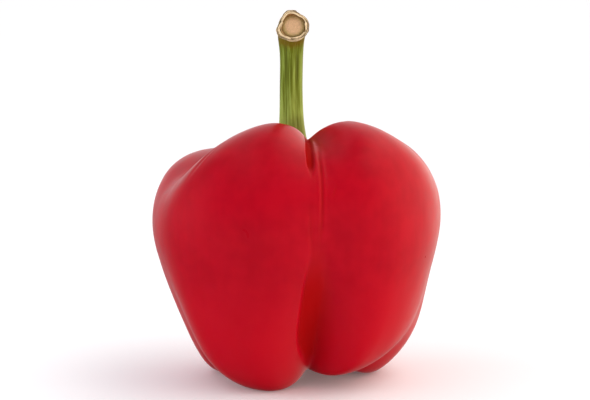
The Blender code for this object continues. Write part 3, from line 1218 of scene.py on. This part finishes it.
@dataclass
class Stem:
    """The stem: a ribbed stalk with a flared foot, a dry neck and a torn cut end."""

    line: tuple = (     # (place about the fruit's axis), radius
        ((-0.0003, 0.0002, 0.0670), 0.0074),
        ((-0.0007, 0.0001, 0.0720), 0.0058),
        ((-0.0009, -0.0003, 0.0770), 0.0045),
        ((-0.0011, -0.0010, 0.0850), 0.00380),
        ((-0.0012, -0.0020, 0.0950), 0.00362),
        ((-0.0011, -0.0028, 0.1040), 0.00378),
        ((-0.0011, -0.0048, 0.1094), 0.0043),
        ((-0.0009, -0.0082, 0.1120), 0.0045),
        ((-0.0007, -0.0114, 0.1129), 0.0051),
    )
    foot_height: float = 69.0 * MM
    ribs: int = 6
    rib_turn: float = 3.35          # how far the ribs are turned, in radians of their own wave
    rib_height: float = 0.055
    # painted light on the ribs and painted shade in the grooves between them
    rib_light_and_shade: float = 0.06
    groove_height: float = 0.09 * MM
    groove_spread: tuple = (3.2, 3.2, 2.2)      # how many grooves lie across the stem, and along it
    grooves: tuple = ((1.0, 0.50), (0.6, 0.22))         # (height, size) of the coarse and the fine ones
    columns: int = 180
    side_rows: int = 150
    cut_rows: int = 60
    rim_rows: int = 2               # rows of the cut over which the bark turns in
    streaks: tuple = (              # (angle from +X, half width, how much paler): the bark's own streaks, and at 330 a painted highlight on the ridge that faces the right
        (20, 10, -0.10), (60, 10, 0.15), (100, 12, 0.10), (150, 10, -0.10), (212, 8, 0.05), (245, 6, -0.08),
        (276, 7, -0.20), (294, 5, 0.02), (308, 5, -0.16), (330, 9, 0.16),
    )
    streak_wander: tuple = (3.0, 9.0)           # how far a streak wanders, and how often
    streak_change: tuple = (0.25, 14.0)         # how much its tone changes along it, and how often
    fibres: int = 34
    fibre_radius: float = 0.10 * MM
    fibre_sides: int = 8
    fibre_cuts: int = 23            # cuts along a fibre, so that it can bend
    fibre_ends: float = 0.15        # width of its ends, as a share of its middle's
    waves: tuple = (                # (height, how fast) of the waves in a fibre's
        (0.012, 7),                 # share of the radius,
        (0.10 * MM, 9),             # lift,
        (0.5, 5),                   # lean
        (0.2, 11),                  # and width
    )
    seed: int = 7
    fine_share: tuple = (0.80, 1.00)            # how far out a fine fibre lies,
    fine_start: tuple = (-15, 15)               # how far from its even place it starts,
    fine_width: tuple = (0.5, 1.0)              # how thick it is beside the model,
    fine_lift: tuple = (0.0, 0.30 * MM)         # how high it lies above the cut,
    fine_drift: tuple = (-0.05, 0.05)           # how much further out it ends,
    fine_sweep: tuple = (25, 70)                # how far round it goes
    fine_tone: tuple = (0.3, 1.0)               # and its tone
    neck_starts: float = 0.80       # share of the length where the neck takes the torn edge's outline
    dry_from: tuple = (0.63, 0.10)  # share of the length, and how far on, where the bark turns dry
    dryness: float = 0.85
    foot_fades: tuple = (0.55, -0.50)           # share where the paler foot, partly painted light, ends, and how far back it is full
    drop_from: tuple = (0.97, 0.03)             # share, and how far on, where the bark drops to the cut
    outline_from: tuple = (0.55, 0.35)          # how far out the torn edge's outline starts to hold
    lip_from: tuple = (0.74, 0.08)              # how far out the ragged lip starts
    tears: tuple = (                # (height, how many, place in the noise) of what makes the lip ragged
        (0.20 * MM, 2.2, 7),
        (0.10 * MM, 6, 3),
        (0.14 * MM, 14, 1),
    )
    pith_shift: float = 0.055       # how far the pith stands to the right, as a share of the radius
    pith_place: tuple = (0.2, 0.3, 0.92, 0.15)  # shares of the radius that shift, as band takes them
    merging: float = 0.002 * MM     # distance under which vertices are merged
    bark_size: tuple = (3.8 * MM, 3.8 * MM, 46 * MM)    # radius and length of the bark, laid straight
    strand_spread: tuple = (2.4, 2.4, 17)       # how closely the pith's ring is split, round it and outwards
    cut_outline: tuple = (          # (angle from +X, share of the radius): the torn edge as seen face on
        (0, 0.985), (18, 0.985), (40, 0.915), (57, 0.845), (82, 0.910),
        (108, 0.945), (136, 0.855), (165, 0.825), (180, 0.900), (197, 1.010),
        (212, 1.040), (243, 0.930), (280, 0.945), (316, 0.975), (340, 0.985),
    )
    cut_profile: tuple = (          # (share of the radius, height above the cut) from rim to middle
        (1.00, -0.9 * MM),
        (1.01, -0.3 * MM),
        (0.98, 0.05 * MM),
        (0.94, -0.20 * MM),
        (0.90, -0.60 * MM),
        (0.85, -0.10 * MM),
        (0.77, 0.10 * MM),
        (0.71, -0.40 * MM),
        (0.66, -1.05 * MM),
        (0.57, -0.95 * MM),
        (0.40, -0.80 * MM),
        (0.20, -0.72 * MM),
        (0.00, -0.70 * MM),
    )
    strips: tuple = (
        # the ring of torn strips that stands round the pith
        Strip(22, 140, (0.85, 0.84), 0.28 * MM, 0.30 * MM, 0.85),
        Strip(150, 52, (0.86, 0.90), 0.26 * MM, 0.36 * MM, 0.80),
        Strip(158, 40, (0.77, 0.80), 0.20 * MM, 0.22 * MM, 0.55),
        Strip(184, 78, (0.88, 0.83), 0.32 * MM, 0.30 * MM, 0.85),
        Strip(250, 80, (0.80, 0.78), 0.20 * MM, 0.34 * MM, 0.90),
        Strip(343, 42, (0.83, 0.81), 0.30 * MM, 0.40 * MM, 1.00),
        # the looser ones outside it
        Strip(92, 62, (0.96, 0.92), 0.24 * MM, 0.05 * MM, 0.70),
        Strip(186, 64, (1.01, 0.96), 0.34 * MM, -0.10 * MM, 0.40),
        Strip(246, 74, (0.97, 0.95), 0.32 * MM, 0.02 * MM, 0.65),
        Strip(333, 44, (0.98, 0.97), 0.28 * MM, -0.05 * MM, 0.10),
        Strip(16, 52, (0.97, 0.90), 0.22 * MM, 0.12 * MM, 0.75),
        Strip(74, 60, (1.01, 1.00), 0.24 * MM, -0.12 * MM, 0.15),
    )

    def centre_at(self, share: np.ndarray) -> tuple:
        """Middle, radius and frame of the stem at shares of its length.

        Args:
            share: Places from 0 at the first point of the line to 1 at its last.

        Returns:
            Middles, radii, the way along, and the two ways across.
        """
        rows = np.array([(*place, radius) for place, radius in self.line])
        at = share * (len(rows) - 1)
        here = smooth_through(rows, at)
        step = 1e-3
        ahead = smooth_through(rows, np.minimum(at + step, len(rows) - 1))
        behind = smooth_through(rows, np.maximum(at - step, 0))
        along = (ahead - behind)[:, :3]
        along /= np.linalg.norm(along, axis=1)[:, None]
        right = np.tile((1.0, 0.0, 0.0), (len(along), 1))
        right -= along * np.sum(right * along, axis=1)[:, None]
        right /= np.linalg.norm(right, axis=1)[:, None]
        over = np.cross(along, right)
        return here[:, :3], here[:, 3], along, right, over

    def build(self) -> list[bpy.types.Object]:
        """Models the stalk and the fibres round its cut.

        Returns:
            The finished pieces.
        """
        return [self.build_stalk(), self.build_fibres()]

    def foot_share(self) -> float:
        """Finds the share of the line at which the stem leaves the collar.

        Returns:
            The share.
        """
        shares = np.linspace(0, 0.3, 400)
        heights = self.centre_at(shares)[0][:, 2]
        return float(np.interp(self.foot_height, heights, shares))

    def outline_at(self, turn: np.ndarray) -> np.ndarray:
        """How far out the torn edge stands, at angles from +X.

        Args:
            turn: Angles in radians.

        Returns:
            One share of the radius for each angle.
        """
        angles, shares = zip(*self.cut_outline)
        return np.interp(np.degrees(turn) % 360, angles, shares, period=360)

    def streaks_at(self, turn: np.ndarray, share: np.ndarray) -> np.ndarray:
        """How much paler the bark is, where streaks wander along it.

        Args:
            turn: Angles in radians.
            share: Shares of the stem's length.

        Returns:
            One value for each point, negative where the bark is darker.
        """
        far, often = self.streak_wander
        change, changes = self.streak_change
        paler = np.zeros(len(turn))
        for angle, width, amount in self.streaks:
            aside = degrees_past(np.degrees(turn) - angle, far * np.sin(often * share + angle))
            strength = 1 - change + change * np.sin(changes * share + 2 * angle)
            paler += amount * strength * np.exp(-(aside / width) ** 2)
        return paler

    def build_stalk(self) -> bpy.types.Object:
        """Models the stalk from a grid that is wrapped round the stem's line.

        Returns:
            The finished piece.
        """
        deselect_all()
        rows = 1 + self.side_rows + self.cut_rows
        bpy.ops.mesh.primitive_grid_add(x_subdivisions=self.columns, y_subdivisions=rows, size=1.0)
        piece = bpy.context.object
        piece.name = "stem_stalk"
        flat = points_of(piece) + 0.5
        turn = 2 * math.pi * flat[:, 0]
        row = np.round(flat[:, 1] * rows).astype(int)
        on_cut = row > self.side_rows

        side = np.clip((row - 1) / (self.side_rows - 1), 0, 1)
        share = between(self.foot_share(), 1.0, side)
        middle, radius, along, right, over = self.centre_at(share)
        inwards = np.clip((row - self.side_rows) / self.cut_rows, 0, 1)
        profile = smooth_through(np.array(self.cut_profile), inwards * (len(self.cut_profile) - 1))
        out = np.where(on_cut, profile[:, 0], 1.0)

        neck = ease(side, self.neck_starts, 1 - self.neck_starts)
        lengthwise = wrapped(turn, share, self.groove_spread)
        groove = sum(high * noise_at(lengthwise, size) for high, size in self.grooves)
        ring = wrapped(turn, np.zeros(len(turn)), (1, 1, 1))
        ragged = sum(high * noise_at(ring * count + place, 1.0) for high, count, place in self.tears)
        rib = np.cos(self.ribs * turn + self.rib_turn)

        outline = between(1.0, self.outline_at(turn), neck * ease(out, *self.outline_from))
        reach = radius * outline * out * (1 + self.rib_height * rib * (1 - neck))
        reach += self.groove_height * groove * np.where(on_cut, 0, 1)
        rise = profile[:, 1] + ease(out, *self.lip_from) * on_cut * ragged
        rise = np.where(on_cut, rise, self.cut_profile[0][1] * ease(side, *self.drop_from))
        # the first row closes the stem's foot
        rise = np.where(row == 0, 0, rise)
        reach = np.where(row == 0, 0, reach)
        aside = self.pith_shift * radius * on_cut * band(out, *self.pith_place)
        turned = right * np.cos(turn)[:, None] + over * np.sin(turn)[:, None]
        places = middle + turned * reach[:, None] + along * rise[:, None] + right * aside[:, None]
        place_points(piece, places + FRUIT_AXIS)

        keep_values(piece, "straight", wrapped(turn, share, self.bark_size))
        # paler on the ribs and darker between them, painted light and shade, with the streaks added
        keep_values(piece, "pale", self.rib_light_and_shade * rib + self.streaks_at(turn, share))
        keep_values(piece, "dry", ease(side, *self.dry_from) * self.dryness)
        # the paler foot: partly its own colour, partly painted light where the lobes shade the stalk
        keep_values(piece, "foot", ease(side, *self.foot_fades))
        keep_values(piece, "around", wrapped(turn, out, self.strand_spread))
        keep_values(piece, "out", out)
        # how far up the cut a point is, for the painted shade under the top of the rim
        keep_values(piece, "upper", np.sin(turn) * out)
        StemBark().dress(piece)
        CutFibre().dress(piece)
        face_rows = row[np.array([face.vertices[0] for face in piece.data.polygons])]
        on_pith = (face_rows > self.side_rows + self.rim_rows).astype(np.int32)
        piece.data.polygons.foreach_set("material_index", on_pith)

        face_outwards(self.merging)
        settle(piece, "stem")
        return piece

    def straight_fibre(self) -> bpy.types.Object:
        """Models one straight fibre: a thin rod of many short lengths.

        Returns:
            The rod, one unit long about its middle.
        """
        deselect_all()
        bpy.ops.mesh.primitive_cylinder_add(vertices=self.fibre_sides, radius=1.0, depth=1.0)
        rod = bpy.context.object
        bpy.ops.object.mode_set(mode="EDIT")
        bpy.ops.mesh.select_mode(type="EDGE")
        bpy.ops.mesh.select_all(action="DESELECT")
        bpy.ops.object.mode_set(mode="OBJECT")
        for edge in rod.data.edges:
            low, high = [rod.data.vertices[v].co.z for v in edge.vertices]
            edge.select = abs(high - low) > 0.5
        bpy.ops.object.mode_set(mode="EDIT")
        bpy.ops.mesh.subdivide(number_cuts=self.fibre_cuts)
        bpy.ops.object.mode_set(mode="OBJECT")
        return rod

    def lay_strip(self, model: bpy.types.Object, strip: Strip, draw: np.random.Generator) -> bpy.types.Object:
        """Copies the straight fibre and bends the copy round the cut.

        Args:
            model: The straight fibre.
            strip: Where the copy goes.
            draw: Random numbers, for its waves.

        Returns:
            The bent copy.
        """
        fibre = model.copy()
        fibre.data = model.data.copy()
        bpy.context.collection.objects.link(fibre)
        unit = points_of(fibre)
        run = unit[:, 2] + 0.5
        middle, radius, along, right, over = [part[0] for part in self.centre_at(np.array([1.0]))]
        angle = np.radians(strip.start + strip.sweep * run)
        starts = draw.uniform(0, 2 * math.pi, 3)
        sway, rise, lean, swell = [
            high * np.sin(fast * run + start)
            for (high, fast), start in zip(self.waves, (*starts, starts[0]))
        ]
        share = between(*strip.shares, run) + sway
        height = strip.lift + rise
        outward = right * np.cos(angle)[:, None] + over * np.sin(angle)[:, None]
        reach = radius * share * self.outline_at(angle)
        spine = middle + outward * reach[:, None] + along * height[:, None]
        taper = between(self.fibre_ends, 1.0, np.sqrt(np.sin(math.pi * np.clip(run, 0.005, 0.995))))
        wide = outward * np.cos(lean)[:, None] + along * np.sin(lean)[:, None]
        deep = along * np.cos(lean)[:, None] - outward * np.sin(lean)[:, None]
        width = strip.half_width * taper * (1 + swell)
        thick = min(strip.half_width, self.fibre_radius) * taper
        places = spine + wide * (unit[:, 0] * width)[:, None] + deep * (unit[:, 1] * thick)[:, None]
        place_points(fibre, places + FRUIT_AXIS)
        keep_values(fibre, "tone", np.full(len(places), strip.tone))
        return fibre

    def build_fibres(self) -> bpy.types.Object:
        """Lays the torn strips and some finer fibres round the cut, all from one model.

        Returns:
            The finished piece, with all the fibres in one mesh.
        """
        draw = np.random.default_rng(self.seed)
        model = self.straight_fibre()
        strips = list(self.strips)
        for i in range(self.fibres):
            share = draw.uniform(*self.fine_share)
            start = 360 * i / self.fibres + draw.uniform(*self.fine_start)
            thin = self.fibre_radius * draw.uniform(*self.fine_width)
            lift = draw.uniform(*self.fine_lift)
            shares = (share, share + draw.uniform(*self.fine_drift))
            sweep = draw.uniform(*self.fine_sweep)
            strips.append(Strip(start, sweep, shares, thin, lift, draw.uniform(*self.fine_tone)))
        fibres = [self.lay_strip(model, strip, draw) for strip in strips]
        bpy.data.objects.remove(model)
        deselect_all()
        for fibre in fibres:
            fibre.select_set(True)
        bpy.context.view_layer.objects.active = fibres[0]
        bpy.ops.object.join()
        piece = bpy.context.object
        piece.name = "stem_fibres"
        face_outwards()
        TornFibre().dress(piece)
        settle(piece, "stem")
        return piece


@dataclass(frozen=True)
class SoftBox:
    """A soft light of the studio, which faces the pepper and shows in no reflection."""

    name: str
    place: tuple
    size: tuple
    power: float
    tint: str = "FFFFFF"
    aim: tuple = (0, 0, 0.05)

    def build(self) -> None:
        """Adds the light."""
        bpy.ops.object.light_add(type="AREA", location=self.place)
        box = bpy.context.object
        box.name = self.name
        box.data.shape = "RECTANGLE"
        box.data.size, box.data.size_y = self.size
        box.data.energy = self.power
        box.data.color = linear(self.tint)[:3]
        toward = Vector(self.aim) - Vector(self.place)
        box.rotation_euler = toward.to_track_quat("-Z", "Y").to_euler()
        box.visible_camera = False
        box.visible_glossy = False


@dataclass
class Studio:
    """The table, the soft light and the camera at the photograph's angle."""

    table_size: float = 20.0
    elevation: float = 9.0
    distance: float = 0.8
    aim: tuple = (-0.0003, 0.0014, 0.0568)
    sensor: float = 36.0
    image_width: int = 590
    scale: float = 0.3158 * MM      # real size of a pixel at the pepper's middle
    overhead: float = 0.95          # strength of the broad light overhead
    overhead_angle: float = 110.0   # how widely it is spread
    overhead_lean: float = 24.0     # how far it leans to the front
    boxes: tuple = (
        SoftBox("low_front_card", (0.0, -0.45, 0.07), (0.9, 0.08), 0.2),
        SoftBox("low_right_card", (0.40, -0.30, 0.07), (0.5, 0.08), 1.05, "FFEBD6"),
        SoftBox("low_left_card", (-0.40, -0.30, 0.07), (0.5, 0.08), 0.7),
        SoftBox("left_wash", (-0.55, 0.05, 0.12), (0.35, 0.35), 1.1),
    )
    wall: float = 2.0               # brightness of the walls at the sides and behind
    gloom: float = 0.04             # brightness of the room behind the camera
    ceiling: float = 0.08           # share of the light left straight overhead, between the side walls
    low_left: float = 0.10          # share of the light that the table sends up at grazing angles
    low_right: float = 0.40
    sides: tuple = (                # (from left to right, share of the light, its tint)
        (0.00, 0.12, "FFFFFF"),
        (1.00, 0.78, "FFEFE0"),
        (0.12, 0.13, "FFFFFF"),
        (0.21, 0.24, "FFFFFF"),
        (0.29, 0.40, "FFFFFF"),
        (0.50, 0.62, "FFFFFF"),
        (0.78, 1.00, "FFF0E2"),
        (0.92, 0.80, "FFEFE0"),
    )

    def build(self) -> None:
        """Sets up the table, the light and the camera."""
        self.build_table()
        self.build_walls()
        self.build_lights()
        self.build_camera()
        bpy.context.scene.view_settings.view_transform = "Standard"

    def build_table(self) -> None:
        """Adds the white table, which shows in no reflection."""
        deselect_all()
        bpy.ops.mesh.primitive_plane_add(size=self.table_size)
        table = bpy.context.object
        table.name = "table"
        StudioSurface().dress(table)
        table.visible_glossy = False

    def build_walls(self) -> None:
        """Makes the world a white room, darker behind the camera and below the table."""
        world = bpy.data.worlds.new("white_room")
        bpy.context.scene.world = world
        world.use_nodes = True
        tree = world.node_tree
        facing = add_node(tree, "ShaderNodeTexCoord").outputs["Generated"]
        parts = add_node(tree, "ShaderNodeSeparateXYZ", None, {0: facing})
        # bright behind the pepper and at its sides, and dark behind the camera
        back = add_node(
            tree, "ShaderNodeMapRange",
            {
                "interpolation_type": "SMOOTHSTEP", "From Min": -0.97, "From Max": -0.15,
                "To Min": self.gloom, "To Max": self.wall,
            },
            {"Value": parts.outputs["Y"]},
        )
        to_right = add_node(
            tree, "ShaderNodeMapRange", {"From Min": -1.0, "From Max": 1.0}, {"Value": parts.outputs["X"]},
        )
        # below the table's level only what the table sends up is left, and less of it on the left
        table_glow = add_node(
            tree, "ShaderNodeMapRange",
            {"From Min": 0.5, "From Max": 0.95, "To Min": self.low_left, "To Max": self.low_right},
            {"Value": to_right.outputs[0]},
        )
        above = add_node(
            tree, "ShaderNodeMapRange", {"From Min": -0.55, "From Max": 0.0, "To Max": 1.0},
            {"Value": parts.outputs["Z"], "To Min": table_glow.outputs[0]},
        )
        # brighter and warmer towards the right
        side = add_node(
            tree, "ShaderNodeValToRGB", None, {"Fac": to_right.outputs[0]},
            [(place, tuple(share * part for part in linear(tint))) for place, share, tint in self.sides],
        )
        aside = add_node(tree, "ShaderNodeMath", {"operation": "ABSOLUTE"}, {0: parts.outputs["X"]})
        # darker straight overhead, so that the top of the fruit keeps its red
        falling = {"interpolation_type": "SMOOTHSTEP", "To Min": 1.0, "To Max": 0.0}
        in_middle = add_node(
            tree, "ShaderNodeMapRange", {**falling, "From Min": 0.0, "From Max": 0.50},
            {"Value": aside.outputs[0]},
        )
        in_front = add_node(
            tree, "ShaderNodeMapRange", {**falling, "From Min": 0.2, "From Max": 0.95},
            {"Value": parts.outputs["Y"]},
        )
        overhead = add_node(
            tree, "ShaderNodeMath", {"operation": "MULTIPLY"},
            {0: in_middle.outputs[0], 1: in_front.outputs[0]},
        )
        open_share = add_node(
            tree, "ShaderNodeMapRange", {"To Min": 1.0, "To Max": self.ceiling},
            {"Value": overhead.outputs[0]},
        )
        level = back
        for share in (above, open_share):
            level = add_node(
                tree, "ShaderNodeMath", {"operation": "MULTIPLY"}, {0: level.outputs[0], 1: share.outputs[0]},
            )
        lit = add_node(
            tree, "ShaderNodeVectorMath", {"operation": "SCALE"},
            {0: side.outputs[0], "Scale": level.outputs[0]},
        )
        # behind the pepper the room is seen plain white
        seen = add_node(tree, "ShaderNodeLightPath")
        shown = add_node(
            tree, "ShaderNodeMix", {"data_type": "RGBA", 7: linear("FFFFFF")},
            {0: seen.outputs["Is Camera Ray"], 6: lit.outputs[0]},
        )
        tree.links.new(shown.outputs[2], tree.nodes["Background"].inputs["Color"])

    def build_lights(self) -> None:
        """Adds a broad light overhead and the soft boxes, none of which shows as a reflection."""
        bpy.ops.object.light_add(type="SUN")
        sun = bpy.context.object
        sun.name = "overhead"
        sun.data.energy = self.overhead
        sun.data.angle = math.radians(self.overhead_angle)
        sun.rotation_euler = (math.radians(self.overhead_lean), 0, 0)
        sun.visible_camera = False
        sun.visible_glossy = False
        for box in self.boxes:
            box.build()

    def build_camera(self) -> None:
        """Adds the camera, level with the photograph's view."""
        angle = math.radians(self.elevation)
        look = Vector((0, math.cos(angle), -math.sin(angle)))
        bpy.ops.object.camera_add(location=Vector(self.aim) - look * self.distance)
        camera = bpy.context.object
        camera.name = "camera"
        camera.rotation_euler = look.to_track_quat("-Z", "Y").to_euler()
        camera.data.sensor_width = self.sensor
        camera.data.lens = self.sensor * self.distance / (self.image_width * self.scale)
        camera.data.clip_start = 0.05
        camera.data.clip_end = 50.0
        bpy.context.scene.camera = camera


def main() -> None:
    """Builds the pepper and its studio, and reports each step."""
    logging.basicConfig(level=logging.INFO, format="%(name)s: %(message)s")
    fruit = Fruit()
    parts: list[Callable[[], Any]] = [fruit.build, Calyx(fruit).build, Stem().build, Studio().build]
    for build in parts:
        build()
        log.info("%s done", build.__qualname__)


if __name__ == "__main__":
    main()
